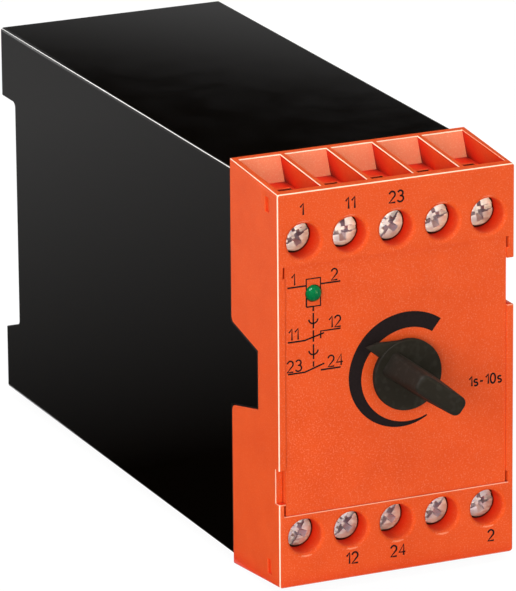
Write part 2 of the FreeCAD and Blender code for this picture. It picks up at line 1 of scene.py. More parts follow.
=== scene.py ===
import json
import math

import bmesh
import bpy
from mathutils import Matrix, Vector


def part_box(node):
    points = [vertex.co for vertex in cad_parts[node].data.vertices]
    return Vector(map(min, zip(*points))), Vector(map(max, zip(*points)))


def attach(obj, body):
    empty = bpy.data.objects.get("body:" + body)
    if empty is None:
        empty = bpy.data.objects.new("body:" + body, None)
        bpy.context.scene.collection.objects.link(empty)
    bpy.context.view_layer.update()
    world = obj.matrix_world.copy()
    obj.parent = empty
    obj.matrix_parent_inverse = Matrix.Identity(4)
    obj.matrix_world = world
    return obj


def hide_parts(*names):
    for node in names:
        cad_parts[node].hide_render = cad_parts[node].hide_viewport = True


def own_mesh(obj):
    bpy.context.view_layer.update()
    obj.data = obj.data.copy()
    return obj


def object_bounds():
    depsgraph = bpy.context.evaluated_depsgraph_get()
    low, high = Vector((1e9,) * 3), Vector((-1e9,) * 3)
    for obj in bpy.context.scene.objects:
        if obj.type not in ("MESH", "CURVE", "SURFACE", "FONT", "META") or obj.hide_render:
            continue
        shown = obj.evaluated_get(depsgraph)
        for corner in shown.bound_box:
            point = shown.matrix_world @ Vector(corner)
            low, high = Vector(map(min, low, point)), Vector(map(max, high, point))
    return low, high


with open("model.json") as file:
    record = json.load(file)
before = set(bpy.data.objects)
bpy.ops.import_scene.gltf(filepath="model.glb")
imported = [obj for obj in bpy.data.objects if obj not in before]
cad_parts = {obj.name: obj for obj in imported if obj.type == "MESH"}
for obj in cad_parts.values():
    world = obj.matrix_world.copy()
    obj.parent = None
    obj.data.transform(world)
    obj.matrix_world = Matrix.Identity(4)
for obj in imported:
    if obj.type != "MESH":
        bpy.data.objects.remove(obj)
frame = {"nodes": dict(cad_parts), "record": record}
nodes = frame["nodes"]
cadLow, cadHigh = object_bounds()
mm = 0.001
white = (1.0, 1.0, 1.0)
rows = ("top", "bottom")
terminalTags = [f"{row}_{place}" for row in rows for place in range(1, 6)]
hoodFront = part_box("front_hood")[0].y
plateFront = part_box("front_plate")[0].y
print("frame loaded:", len(nodes), "nodes")


# node helpers: a socket takes a constant or another node's output

def isSocket(value):
    return isinstance(value, bpy.types.NodeSocket)


def addNode(tree, kind, inputs=None, **settings):
    node = tree.nodes.new(kind)
    for name, value in settings.items():
        setattr(node, name, value)
    for key, value in (inputs or {}).items():
        if isSocket(value):
            tree.links.new(value, node.inputs[key])
        else:
            node.inputs[key].default_value = value
    return node


def sums(tree, operation, first, second=0.0, clamp=False):
    wanted = {0: first, 1: second}
    node = addNode(tree, "ShaderNodeMath", wanted, operation=operation, use_clamp=clamp)
    return node.outputs[0]


def spread(tree, value, low, high, toLow=0.0, toHigh=1.0):
    wanted = {0: value, 1: low, 2: high, 3: toLow, 4: toHigh}
    return addNode(tree, "ShaderNodeMapRange", wanted).outputs[0]


def mixColours(tree, share, first, second):
    first, second = (c if isSocket(c) else (*c, 1.0) for c in (first, second))
    wanted = {0: share, 6: first, 7: second}
    return addNode(tree, "ShaderNodeMix", wanted, data_type="RGBA").outputs[2]


def noise(tree, place, scale, detail=2.0, roughness=0.5):
    wanted = {"Vector": place, "Scale": scale, "Detail": detail, "Roughness": roughness}
    return addNode(tree, "ShaderNodeTexNoise", wanted).outputs[0]


def newGroup(name, kind, inputs, outputs):
    group = bpy.data.node_groups.new(name, kind)
    for direction, sockets in (("INPUT", inputs), ("OUTPUT", outputs)):
        for label, (socketType, default) in sockets.items():
            made = group.interface.new_socket(label, in_out=direction,
                                              socket_type="NodeSocket" + socketType)
            if default is not None:
                made.default_value = default
    start = group.nodes.new("NodeGroupInput")
    end = group.nodes.new("NodeGroupOutput")
    return group, start.outputs, end.inputs


# shared finishes: a span is the part of a noise that is used, a depth is in millimetres
noiseSpan = (0.3, 0.7)
grainShape = {
    "scale": 3000.0, "mottleScale": 160.0, "cellShare": 0.5, "fleckScale": 0.9,
    "fleckSpan": (0.52, 0.72), "roughSwing": 0.03, "depth": 0.04,
}


def mouldGrainGroup():
    group, given, wanted = newGroup(
        "mouldGrain", "ShaderNodeTree",
        {"Vector": ("Vector", None), "Grain Scale": ("Float", grainShape["scale"]),
         "Mottle Scale": ("Float", grainShape["mottleScale"])},
        {"Height": ("Float", None), "Mottle": ("Float", None), "Fleck": ("Float", None)})
    place, grainScale = given["Vector"], given["Grain Scale"]
    fine = noise(group, place, grainScale, detail=3.0, roughness=0.6)
    cells = addNode(group, "ShaderNodeTexVoronoi", {"Vector": place, "Scale": grainScale},
                    feature="SMOOTH_F1").outputs["Distance"]
    height = sums(group, "ADD", fine, sums(group, "MULTIPLY", cells, grainShape["cellShare"]))
    mottle = noise(group, place, given["Mottle Scale"], detail=4.0, roughness=0.55)
    fleckScale = sums(group, "MULTIPLY", grainScale, grainShape["fleckScale"])
    flecks = noise(group, place, fleckScale, detail=1.0)
    group.links.new(height, wanted["Height"])
    group.links.new(spread(group, mottle, *noiseSpan), wanted["Mottle"])
    group.links.new(spread(group, flecks, *grainShape["fleckSpan"]), wanted["Fleck"])
    return group


scuffShape = {
    "scale": 900.0, "stretch": (1.0, 0.15, 5.0), "cloudScale": 0.5, "scuffSpan": (0.42, 0.66),
    "tarnishSpan": (0.35, 0.68), "roughRise": 0.16, "depth": 0.06,
}


def metalScuffGroup():
    group, given, wanted = newGroup(
        "metalScuff", "ShaderNodeTree",
        {"Vector": ("Vector", None), "Scuff Scale": ("Float", scuffShape["scale"])},
        {"Height": ("Float", None), "Scuff": ("Float", None), "Tarnish": ("Float", None)})
    place, scuffScale = given["Vector"], given["Scuff Scale"]
    stretched = addNode(group, "ShaderNodeMapping",
                        {"Vector": place, "Scale": scuffShape["stretch"]}).outputs[0]
    lines = noise(group, stretched, scuffScale, detail=4.0, roughness=0.65)
    cloudScale = sums(group, "MULTIPLY", scuffScale, scuffShape["cloudScale"])
    cloud = noise(group, place, cloudScale, detail=3.0)
    group.links.new(lines, wanted["Height"])
    group.links.new(spread(group, lines, *scuffShape["scuffSpan"]), wanted["Scuff"])
    group.links.new(spread(group, cloud, *scuffShape["tarnishSpan"]), wanted["Tarnish"])
    return group


# painted highlight lines along three outer edges: a point is on a line where it lies equally
# far from both faces; core is the share of a line's width that is full, reach is in millimetres
paintedHighlightLineShape = {"core": 0.55, "reach": 0.3}


def paintedHighlightLineGroup():
    labels = ("Left", "Front", "Top", "Rise", "Left Top", "Front Top", "Left Front")
    inputs = {"Vector": ("Vector", None), "Tone": ("Float", 0.0)}
    inputs.update({label: ("Float", 0.0) for label in labels})
    group, given, wanted = newGroup("paintedHighlightLine", "ShaderNodeTree", inputs,
                                    {"Mask": ("Float", None)})
    x, y, z = addNode(group, "ShaderNodeSeparateXYZ", {0: given["Vector"]}).outputs
    left = sums(group, "SUBTRACT", x, given["Left"])
    front = sums(group, "SUBTRACT", y, given["Front"])
    topHere = sums(group, "ADD", given["Top"], sums(group, "MULTIPLY", front, given["Rise"]))
    top = sums(group, "SUBTRACT", topHere, z)
    mask = given["Tone"]
    pairs = {"Left Top": (left, top), "Front Top": (front, top), "Left Front": (left, front)}
    for label, (first, second) in pairs.items():
        width = given[label]
        apart = sums(group, "ABSOLUTE", sums(group, "SUBTRACT", first, second))
        core = sums(group, "MULTIPLY", width, paintedHighlightLineShape["core"])
        line = spread(group, apart, core, width, 1.0, 0.0)
        farther = sums(group, "MAXIMUM", first, second)
        near = sums(group, "LESS_THAN", farther, paintedHighlightLineShape["reach"] * mm)
        mask = sums(group, "MAXIMUM", mask, sums(group, "MULTIPLY", line, near))
    group.links.new(mask, wanted["Mask"])
    return group


mouldGrain = mouldGrainGroup()
paintedHighlightLine = paintedHighlightLineGroup()
metalScuff = metalScuffGroup()


def newMaterial(name):
    material = bpy.data.materials.new(name)
    material.use_nodes = True
    tree = material.node_tree
    shader = tree.nodes["Principled BSDF"]
    place = tree.nodes.new("ShaderNodeTexCoord").outputs["Object"]
    return material, tree, shader, place


def feed(tree, shader, colour, rough, specular=None):
    tree.links.new(colour, shader.inputs["Base Color"])
    tree.links.new(rough, shader.inputs["Roughness"])
    if specular is not None:
        shader.inputs["Specular IOR Level"].default_value = specular


def putBump(tree, shader, height, strength, depth):
    wanted = {"Strength": strength, "Distance": depth * mm, "Height": height}
    bump = addNode(tree, "ShaderNodeBump", wanted)
    tree.links.new(bump.outputs[0], shader.inputs["Normal"])


# mouldings: edge is the colour of the flecks and of the painted highlights, a painted shade turns
# the colour redder, then dark, in crevices and holes, and lines are the painted highlight lines'
# places and widths
mouldings = {
    "hoodOrange": {
        "colour": (0.81, 0.092, 0.013), "shade": (0.76, 0.078, 0.009), "edge": (1.0, 0.78, 0.58),
        "rough": 0.34, "edgeRough": 0.34, "specular": 0.12,
        "grain": 4200.0, "bump": 0.22, "fleck": 0.075,
        # painted shade: redder, then dark, where ambient occlusion finds crevices and holes
        "paintedShade": {"reach": 4.5, "deep": (0.74, 0.021, 0.004), "deepSpan": (0.40, 0.95),
                    "dark": (0.020, 0.005, 0.004), "darkSpan": (0.08, 0.30)},
        # painted highlight lines along the hood's left, front and top edges
        "lines": {"Left": -22.5, "Front": -117.7, "Top": 35.45, "Rise": 0.0795,
                  "Left Top": 0.12, "Front Top": 0.18, "Left Front": 0.21},
    },
    "housingBlack": {
        "colour": (0.0016, 0.0009, 0.0004), "shade": (0.0012, 0.0006, 0.0003),
        "edge": (0.78, 0.77, 0.75), "rough": 0.15, "edgeRough": 0.30, "specular": 0.18,
        "grain": 2200.0, "bump": 0.05, "fleck": 0.0, "tint": (1.0, 0.94, 0.90),
        # a painted highlight line along the housing's top left edge
        "lines": {"Left": -22.5, "Front": -300.0, "Top": 35.35, "Rise": 0.0, "Left Top": 0.15},
    },
    "latchBlack": {
        "colour": (0.006, 0.006, 0.007), "shade": (0.004, 0.004, 0.005), "edge": (0.09, 0.09, 0.09),
        "rough": 0.38, "edgeRough": 0.30, "specular": 0.30,
        "grain": 1900.0, "bump": 0.10, "fleck": 0.0,
    },
    "knobBlack": {
        "colour": (0.0190, 0.0158, 0.0118), "shade": (0.0160, 0.0132, 0.0098),
        "edge": (0.050, 0.046, 0.038), "rough": 0.60, "edgeRough": 0.50, "specular": 0.04,
        "grain": 900.0, "bump": 0.16, "fleck": 0.25,
    },
    "componentBlack": {
        "colour": (0.013, 0.013, 0.014), "shade": (0.009, 0.009, 0.010), "edge": (0.05, 0.05, 0.05),
        "rough": 0.55, "edgeRough": 0.45, "specular": 0.40,
        "grain": 1500.0, "bump": 0.30, "fleck": 0.10,
    },
    "relayCase": {
        "colour": (0.020, 0.085, 0.24), "shade": (0.016, 0.070, 0.20), "edge": (0.08, 0.18, 0.36),
        "rough": 0.32, "edgeRough": 0.28, "specular": 0.45,
        "grain": 1400.0, "bump": 0.12, "fleck": 0.0,
    },
    "shaftGrey": {
        "colour": (0.30, 0.30, 0.29), "shade": (0.24, 0.24, 0.23), "edge": (0.40, 0.40, 0.39),
        "rough": 0.45, "edgeRough": 0.40, "specular": 0.40,
        "grain": 1800.0, "bump": 0.12, "fleck": 0.0,
    },
}
mouldings["plateOrange"] = {key: value for key, value in mouldings["hoodOrange"].items()
                            if key not in ("lines", "paintedShade")}


def mouldedPlastic(name, look):
    material, tree, shader, place = newMaterial(name)
    grain = addNode(tree, "ShaderNodeGroup", {"Vector": place, "Grain Scale": look["grain"]},
                    node_tree=mouldGrain).outputs
    tone, dull, paintedShadeLift = (
        addNode(tree, "ShaderNodeAttribute", attribute_name=label).outputs["Fac"]
        for label in ("paintedHighlight", "edgeDull", "paintedShadeLift"))
    # painted highlight lines along the outer edges join the edges' painted highlight tone
    if "lines" in look:
        edge = addNode(tree, "ShaderNodeGroup", {"Vector": place, "Tone": tone},
                       node_tree=paintedHighlightLine)
        for label, length in look["lines"].items():
            edge.inputs[label].default_value = length if label == "Rise" else length * mm
        tone = edge.outputs["Mask"]
    body = mixColours(tree, grain["Mottle"], look["shade"], look["colour"])
    flecked = sums(tree, "MULTIPLY", grain["Fleck"], look["fleck"])
    body = mixColours(tree, flecked, body, look["edge"])
    # painted shade: where ambient occlusion finds little open room the colour turns redder, then
    # dark
    if "paintedShade" in look:
        paintedShade = look["paintedShade"]
        reach = {"Distance": paintedShade["reach"] * mm}
        openSky = addNode(tree, "ShaderNodeAmbientOcclusion", reach, samples=8).outputs["AO"]
        openSky = sums(tree, "ADD", openSky, paintedShadeLift)
        for depth in ("deep", "dark"):
            share = spread(tree, openSky, *paintedShade[depth + "Span"])
            body = mixColours(tree, share, paintedShade[depth], body)
    # the painted highlights on edges and rear walls mix in the edge colour
    colour = mixColours(tree, tone, body, look["edge"])
    swing = grainShape["roughSwing"]
    rough = spread(tree, grain["Mottle"], 0.0, 1.0, look["rough"] + swing, look["rough"] - swing)
    drop = sums(tree, "MULTIPLY", tone, look["rough"] - look["edgeRough"])
    rough = sums(tree, "ADD", sums(tree, "SUBTRACT", rough, drop), dull, clamp=True)
    feed(tree, shader, colour, rough, look["specular"])
    shader.inputs["Specular Tint"].default_value = (*look.get("tint", white), 1.0)
    putBump(tree, shader, grain["Height"], look["bump"], grainShape["depth"])
    return material


metals = {
    "screwSteel": {"colour": (0.58, 0.53, 0.63), "dull": (0.35, 0.305, 0.375),
                   "rough": 0.32, "scale": 700.0, "bump": 0.5},
    "platedSteel": {"colour": (0.62, 0.61, 0.58), "dull": (0.44, 0.43, 0.40),
                    "rough": 0.30, "scale": 500.0, "bump": 0.18},
    "platedBrass": {"colour": (0.72, 0.60, 0.42), "dull": (0.52, 0.41, 0.27),
                    "rough": 0.28, "scale": 500.0, "bump": 0.18},
}


def metalFinish(name, look):
    material, tree, shader, place = newMaterial(name)
    scuff = addNode(tree, "ShaderNodeGroup", {"Vector": place, "Scuff Scale": look["scale"]},
                    node_tree=metalScuff).outputs
    colour = mixColours(tree, scuff["Tarnish"], look["colour"], look["dull"])
    roughest = look["rough"] + scuffShape["roughRise"]
    feed(tree, shader, colour, spread(tree, scuff["Scuff"], 0.0, 1.0, look["rough"], roughest))
    shader.inputs["Metallic"].default_value = 1.0
    putBump(tree, shader, scuff["Height"], look["bump"], scuffShape["depth"])
    return material


inkLook = {
    "dark": (0.011, 0.007, 0.008), "light": (0.016, 0.010, 0.011), "patchScale": 2400.0,
    "rough": (0.48, 0.62), "specular": 0.03,
}


def printInk():
    material, tree, shader, place = newMaterial("printInk")
    patch = noise(tree, place, inkLook["patchScale"], detail=3.0)
    share = spread(tree, patch, *noiseSpan)
    colour = mixColours(tree, share, inkLook["dark"], inkLook["light"])
    rough = spread(tree, patch, 0.0, 1.0, *inkLook["rough"])
    feed(tree, shader, colour, rough, inkLook["specular"])
    return material


# the lamp's green is darker low on the dome and lighter high on it, a painted shade
lampLook = {
    "low": (0.0, 0.095, 0.028), "high": (0.0, 0.200, 0.056), "hazeScale": 1500.0,
    "rough": (0.14, 0.20), "specular": 0.06,
}


def lampGreen():
    material, tree, shader, place = newMaterial("lampGreen")
    # painted shade: the green grows lighter with height
    height = addNode(tree, "ShaderNodeSeparateXYZ", {0: place}).outputs["Z"]
    low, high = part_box("status_led")
    share = spread(tree, height, low.z, high.z)
    colour = mixColours(tree, share, lampLook["low"], lampLook["high"])
    haze = noise(tree, place, lampLook["hazeScale"])
    rough = spread(tree, haze, 0.0, 1.0, *lampLook["rough"])
    feed(tree, shader, colour, rough, lampLook["specular"])
    return material


boardLook = {
    "mask": (0.008, 0.085, 0.030), "track": (0.022, 0.150, 0.055), "pad": (0.62, 0.60, 0.56),
    "tracks": {"Scale": 260.0, "Mortar Size": 0.05, "Brick Width": 1.7, "Row Height": 0.55},
    "pads": {"Scale": 330.0, "Randomness": 0.35}, "padSpan": (0.17, 0.14),
    "hazeScale": 900.0, "rough": (0.28, 0.42), "bump": 0.3, "depth": 0.05,
}


def boardGreen():
    material, tree, shader, place = newMaterial("boardGreen")
    turned = addNode(tree, "ShaderNodeMapping",
                     {"Vector": place, "Rotation": (0.0, math.pi / 2, 0.0)}).outputs[0]
    tracks = addNode(tree, "ShaderNodeTexBrick",
                     {"Vector": turned, **boardLook["tracks"]}).outputs["Fac"]
    pads = addNode(tree, "ShaderNodeTexVoronoi", {"Vector": place, **boardLook["pads"]})
    pad = spread(tree, pads.outputs["Distance"], *boardLook["padSpan"])
    mask = mixColours(tree, tracks, boardLook["mask"], boardLook["track"])
    haze = noise(tree, place, boardLook["hazeScale"])
    rough = spread(tree, haze, *noiseSpan, *boardLook["rough"])
    feed(tree, shader, mixColours(tree, pad, mask, boardLook["pad"]), rough)
    tree.links.new(pad, shader.inputs["Metallic"])
    putBump(tree, shader, tracks, boardLook["bump"], boardLook["depth"])
    return material


sleeveLook = {
    "sleeve": (0.012, 0.016, 0.055), "stripe": (0.50, 0.52, 0.54), "top": (0.66, 0.66, 0.65),
    "stripeFrom": 2.35, "topDepth": 0.3, "hazeScale": 800.0, "rough": (0.26, 0.38),
}


def capacitorSleeve():
    material, tree, shader, place = newMaterial("capacitorSleeve")
    low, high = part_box("smoothing_capacitor")
    middle = (low + high) / 2
    centred = addNode(tree, "ShaderNodeMapping",
                      {"Vector": place, "Location": tuple(-middle)}).outputs[0]
    parts = addNode(tree, "ShaderNodeSeparateXYZ", {0: centred}).outputs
    angle = sums(tree, "ARCTAN2", parts["Z"], parts["Y"])
    stripe = sums(tree, "GREATER_THAN", angle, sleeveLook["stripeFrom"])
    topFrom = (high.x - low.x) / 2 - sleeveLook["topDepth"] * mm
    top = sums(tree, "GREATER_THAN", parts["X"], topFrom)
    sleeve = mixColours(tree, stripe, sleeveLook["sleeve"], sleeveLook["stripe"])
    haze = noise(tree, place, sleeveLook["hazeScale"])
    rough = spread(tree, haze, *noiseSpan, *sleeveLook["rough"])
    feed(tree, shader, mixColours(tree, top, sleeve, sleeveLook["top"]), rough)
    tree.links.new(top, shader.inputs["Metallic"])
    return material


finishes = {name: mouldedPlastic(name, look) for name, look in mouldings.items()}
finishes.update({name: metalFinish(name, look) for name, look in metals.items()})
for maker in (printInk, lampGreen, boardGreen, capacitorSleeve):
    finishes[maker.__name__] = maker()
slotFinish = {
    "hood_orange": "hoodOrange", "housing_black": "housingBlack", "latch_black": "latchBlack",
    "knob_black": "knobBlack", "lamp_green": "lampGreen", "screw_steel": "screwSteel",
    "plated_steel": "platedSteel", "plated_brass": "platedBrass", "board_green": "boardGreen",
    "component_black": "componentBlack", "relay_case": "relayCase",
    "capacitor_sleeve": "capacitorSleeve", "shaft_grey": "shaftGrey",
}
print("finishes made:", len(finishes))


# pieces

def addObject(name, data):
    made = bpy.data.objects.new(name, data)
    bpy.context.scene.collection.objects.link(made)
    return made


def addPiece(name, mesh, body, replaced=None, finish=None):
    piece = addObject(name, mesh)
    if finish:
        mesh.materials.clear()
        mesh.materials.append(finishes[finish])
    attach(piece, body)
    if replaced:
        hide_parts(replaced)
    return piece


def mergedCopy(node):
    bm = bmesh.new()
    bm.from_mesh(nodes[node].data)
    bmesh.ops.remove_doubles(bm, verts=bm.verts, dist=1e-6)
    return bm


def meshFrom(bm, name):
    mesh = bpy.data.meshes.new(name)
    bm.to_mesh(mesh)
    bm.free()
    return mesh


# mouldings with their edges rounded
edgeRounding = {
    "frontHood": {"node": "front_hood", "body": "housing", "slot": "hood_orange", "width": 0.13},
    "rearHousing": {"node": "rear_housing", "body": "housing", "slot": "housing_black",
                    "width": 0.20},
    "railLatch": {"node": "rail_latch", "body": "latch", "slot": "latch_black", "width": 0.20},
    "timeKnob": {"node": "time_knob", "body": "knob", "slot": "knob_black", "width": 0.22},
}
edgeRules = {
    "sharpAngle": 40.0,  # degrees, from which an edge is rounded
    "mergeAngle": 0.5,  # degrees, under which two faces become one
    "slope": 0.34,  # how far a light edge turns to a side
    "bend": (0.01, 0.5),  # radians between two faces of a curved wall
    "curveArea": 12.0,  # most that one face of a curved wall has
    "wellReach": 3.9,  # round a screw's middle
    "wellFlat": -0.98,  # a well's wall turns less to the front
    "seamReach": 0.1,  # above and below the seam over the plate
    "seamDepth": 1.0,  # behind the plate's front
    "rimUp": 0.02,  # the housing's top edge turns up by more
}
sharp = math.radians(edgeRules["sharpAngle"])
# where the hood's rounded edges get a painted highlight: lowest and highest corner of each zone,
# and how strong the painted highlight is
paintedHighlightZones = {
    "mouths": ((-22.4, -117.5, 35.2), (22.4, -98.0, 37.5), 1.0),
    "windowLedge": ((-20.9, -118.0, -22.8), (20.9, -117.0, -22.2), 0.42),
    "gripNotch": ((-22.6, -116.6, -20.5), (-21.9, -116.0, -13.8), 0.60),
    "gripBlock": ((-22.6, -118.0, -20.5), (-20.9, -116.0, -20.0), 0.30),
    "pryNotch": ((20.9, -118.0, 9.7), (22.6, -114.0, 10.3), 0.35),
}
# how much the painted shade is lifted: slots and dimples too slight to be dark lose it, and in
# the funnels a negative lift deepens it, so their painted shade is redder inside
paintedShadeLiftZones = {
    "leftSlots": ((-21.9, -117.6, -23.0), (-20.7, -115.0, 23.0), 1.0),
    "rightSlots": ((20.7, -117.6, -23.0), (21.9, -115.0, 23.0), 1.0),
    "leftUpperDimple": ((-22.4, -115.0, 28.0), (-21.7, -112.0, 34.0), 0.40),
    "leftLowerDimple": ((-22.4, -115.0, -34.0), (-21.7, -112.0, -28.0), 0.40),
    "rightUpperDimple": ((21.7, -115.0, 28.0), (22.4, -112.0, 34.0), 0.40),
    "rightLowerDimple": ((21.7, -115.0, -34.0), (22.4, -112.0, -28.0), 0.40),
    "upperFunnels": ((-22.0, -116.5, 30.5), (22.0, -98.0, 35.0), -0.25),
    "lowerFunnels": ((-22.0, -116.5, -35.0), (22.0, -98.0, -30.5), -0.25),
}
# the funnels' rear walls lean back and catch the light: they get a painted sheen in the highlight
# colour and no painted shade
rearWall = {"level": 30.0, "front": -0.80, "up": 0.15, "tone": 0.11}
# the housing's right top edge stays dark
dullFrom = Vector((21.8, 0.0, 34.7)) * mm
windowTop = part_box("front_plate")[1].z
wells = [sum(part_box(f"terminal_screw_{tag}"), Vector()) / 2 for tag in terminalTags]


def nearWell(point):
    reach = edgeRules["wellReach"] * mm
    return any(math.hypot(point.x - well.x, point.z - well.z) < reach for well in wells)


def inWell(edge):
    return nearWell((edge.verts[0].co + edge.verts[1].co) / 2)


def isRearWall(face):
    leans = face.normal.y < rearWall["front"] and abs(face.normal.z) > rearWall["up"]
    return leans and abs(face.calc_center_median().z) > rearWall["level"] * mm


# the seam over the plate is too fine to show
def atWindowTop(edge):
    reach = edgeRules["seamReach"] * mm
    behind = plateFront + edgeRules["seamDepth"] * mm
    return all(abs(vert.co.z - windowTop) < reach and vert.co.y < behind for vert in edge.verts)


def inZone(face, zones):
    middle = face.calc_center_median() / mm
    for low, high, tone in zones.values():
        if all(a <= c <= b for a, c, b in zip(low, middle, high)):
            return tone
    return 0.0


# painted highlights go on rounded edges in a zone that turn to two of the left, the front and the
# top
def paintedHighlightOf(face):
    slope = edgeRules["slope"]
    if sum((face.normal.x < -slope, face.normal.y < -slope, face.normal.z > slope)) < 2:
        return 0.0
    return inZone(face, paintedHighlightZones)


refill = {
    "overfill": 1.01,  # times its area, past which a face is filled wrongly
    "sameTurn": 0.004,  # radians between the faces of one flat
}


def misfilled(bm):
    filled = {}
    for loops in bm.calc_loop_triangles():
        a, b, c = (loop.vert.co for loop in loops)
        area = (b - a).cross(c - a).length / 2
        filled[loops[0].face] = filled.get(loops[0].face, 0.0) + area
    return [f for f in bm.faces
            if len(f.verts) > 4 and filled[f] > refill["overfill"] * f.calc_area()]


# a flat with holes is several faces: they are taken out together and the flat is filled
# between its borders
def refillFlats(bm):
    flats = []
    for start in misfilled(bm):
        if any(start in flat for flat, normal in flats):
            continue
        flat = [start]
        for face in flat:
            for other in (f for e in face.edges for f in e.link_faces):
                if other not in flat and other.normal.angle(start.normal) < refill["sameTurn"]:
                    flat.append(other)
        flats.append((flat, start.normal.copy()))
    for flat, normal in flats:
        edges = list(dict.fromkeys(e for f in flat for e in f.edges))
        inner = [e for e in edges if all(f in flat for f in e.link_faces)]
        border = [e for e in edges if e not in inner]
        bmesh.ops.delete(bm, geom=flat, context="FACES_ONLY")
        bmesh.ops.delete(bm, geom=inner, context="EDGES")
        border = [e for e in border if e.is_valid]
        bmesh.ops.triangle_fill(bm, use_beauty=True, use_dissolve=False, edges=border,
                                normal=normal)
    return len(flats)


# filled faces come in any order, so they are sorted by their corners
def sortFaces(bm):
    bm.verts.index_update()
    count = len(bm.verts)

    def rank(face):
        a, b, c = sorted(vert.index for vert in face.verts)[:3]
        return (a * count + b) * count + c

    bm.faces.sort(key=rank)


def keepSharpEdges(bm):
    for edge in bm.edges:
        edge.smooth = edge.calc_face_angle(0.0) < sharp


def roundEdges(name, look):
    bm = mergedCopy(look["node"])
    bmesh.ops.dissolve_limit(bm, angle_limit=math.radians(edgeRules["mergeAngle"]),
                             verts=bm.verts, edges=bm.edges)
    tone = bm.faces.layers.float.new("paintedHighlight")
    dull = bm.faces.layers.float.new("edgeDull")
    paintedShadeLift = bm.faces.layers.float.new("paintedShadeLift")
    marks = bm.faces.layers.int.new("rounded")
    edges = [e for e in bm.edges if e.is_manifold and e.is_convex and e.calc_face_angle() > sharp
             and not (inWell(e) or atWindowTop(e))]
    made = bmesh.ops.bevel(bm, geom=edges, offset=look["width"] * mm, offset_type="OFFSET",
                           segments=2, profile=0.5, affect="EDGES", clamp_overlap=False,
                           loop_slide=True)
    for face in made["faces"]:
        face[marks] = 1
    refilled = refillFlats(bm)
    sortFaces(bm)
    print(name, "flats filled afresh:", refilled, "left:", len(misfilled(bm)),
          "open edges:", sum(not e.is_manifold for e in bm.edges))
    slot = look["slot"]
    bendLow, bendHigh = edgeRules["bend"]
    for face in bm.faces:
        bent = any(bendLow < e.calc_face_angle(0.0) < bendHigh for e in face.edges)
        small = face.calc_area() < edgeRules["curveArea"] * mm * mm
        face.smooth = bool(face[marks]) or (bent and small)
        middle = face.calc_center_median()
        recess = inZone(face, paintedShadeLiftZones)
        # each face keeps its painted highlight and how much its painted shade is lifted
        if face[marks]:
            face[paintedShadeLift] = 1.0
            face[tone] = paintedHighlightOf(face) if slot == "hood_orange" else 0.0
            face[dull] = 1.0 if face[tone] == 0.0 and slot != "knob_black" else 0.0
        elif isRearWall(face):
            face[paintedShadeLift] = 1.0
            face[tone] = rearWall["tone"]
        elif recess:
            face[paintedShadeLift] = recess
        elif slot == "hood_orange" and nearWell(middle):
            face[dull] = 1.0 if face.normal.y > edgeRules["wellFlat"] else 0.0
        elif slot == "housing_black" and middle.x > dullFrom.x and middle.z > dullFrom.z:
            face[dull] = 1.0 if face.normal.z > edgeRules["rimUp"] else 0.0
    keepSharpEdges(bm)
    mesh = meshFrom(bm, name)
    addPiece(name, mesh, look["body"], look["node"], slotFinish[slot])


for name, look in edgeRounding.items():
    roundEdges(name, look)
print("mouldings rounded:", len(edgeRounding))


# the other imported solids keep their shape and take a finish
nodeFinish = {"front_plate": "plateOrange"}
slotOfNode = {part["node"]: part["material_slot"] for part in frame["record"]["subparts"]}
for node, slot in slotOfNode.items():
    for holder in nodes[node].material_slots:
        holder.material = finishes[nodeFinish.get(node, slotFinish[slot])]
print("solids finished:", len(slotOfNode))


def addSmooth(name, node, body):
    bm = mergedCopy(node)
    for face in bm.faces:
        face.smooth = True
    keepSharpEdges(bm)
    slot = slotOfNode[node]
    return addPiece(name, meshFrom(bm, name), body, node, slotFinish[slot])


def addLatchSpring():
    piece = addSmooth("latchSpring", "latch_spring", "housing")
    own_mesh(piece)


addSmooth("statusLed", "status_led", "housing")
addLatchSpring()
print("lamp and spring made")


# node trees that make meshes

def bakeTree(name, tree, values, mesh=None):
    maker = addObject(name + "Maker", mesh or bpy.data.meshes.new(name))
    modifier = maker.modifiers.new("maker", "NODES")
    modifier.node_group = tree
    for item in tree.interface.items_tree:
        if item.in_out == "INPUT" and item.name in values:
            modifier[item.identifier] = values[item.name]
    evaluated = maker.evaluated_get(bpy.context.evaluated_depsgraph_get())
    made = bpy.data.meshes.new_from_object(evaluated)
    made.name = name
    bpy.data.objects.remove(maker)
    return made


def joinVector(tree, x=0.0, y=0.0, z=0.0):
    return addNode(tree, "ShaderNodeCombineXYZ", {0: x, 1: y, 2: z}).outputs[0]


sharpTurn = 0.6  # radians, from which an edge of such a mesh is sharp


def endTree(tree, geometry, finish, wanted):
    smooth = addNode(tree, "GeometryNodeSetShadeSmooth", {"Geometry": geometry})
    angle = addNode(tree, "GeometryNodeInputMeshEdgeAngle").outputs["Unsigned Angle"]
    sharp = addNode(tree, "GeometryNodeSetShadeSmooth", {
        "Geometry": smooth.outputs[0], "Selection": sums(tree, "GREATER_THAN", angle, sharpTurn),
        "Shade Smooth": False}, domain="EDGE")
    real = addNode(tree, "GeometryNodeRealizeInstances", {"Geometry": sharp.outputs[0]})
    dressed = addNode(tree, "GeometryNodeSetMaterial",
                      {"Geometry": real.outputs[0], "Material": finish})
    tree.links.new(dressed.outputs[0], wanted["Geometry"])


# terminal screws: domed head with a slot and a tapered cross, threaded shank
screwSizes = {
    "Head Height": 2.2, "Crown": 0.05, "Rim": 0.14, "Slot Width": 0.85, "Slot Depth": 0.55,
    "Cross Length": 3.9, "Cross Width": 1.25, "Cross Depth": 1.0, "Shank Radius": 1.75,
    "Pitch": 0.6, "Thread Depth": 0.28,
}
screwTurns = {"top": (28.0, 4.0, 52.0, 18.0, 10.0), "bottom": (62.0, 45.0, 50.0, 42.0, 16.0)}
# the slot's length in head radii, and how the cross narrows below and widens above
screwCuts = {"slotLength": 2.4, "taper": (0.45, 1.55)}


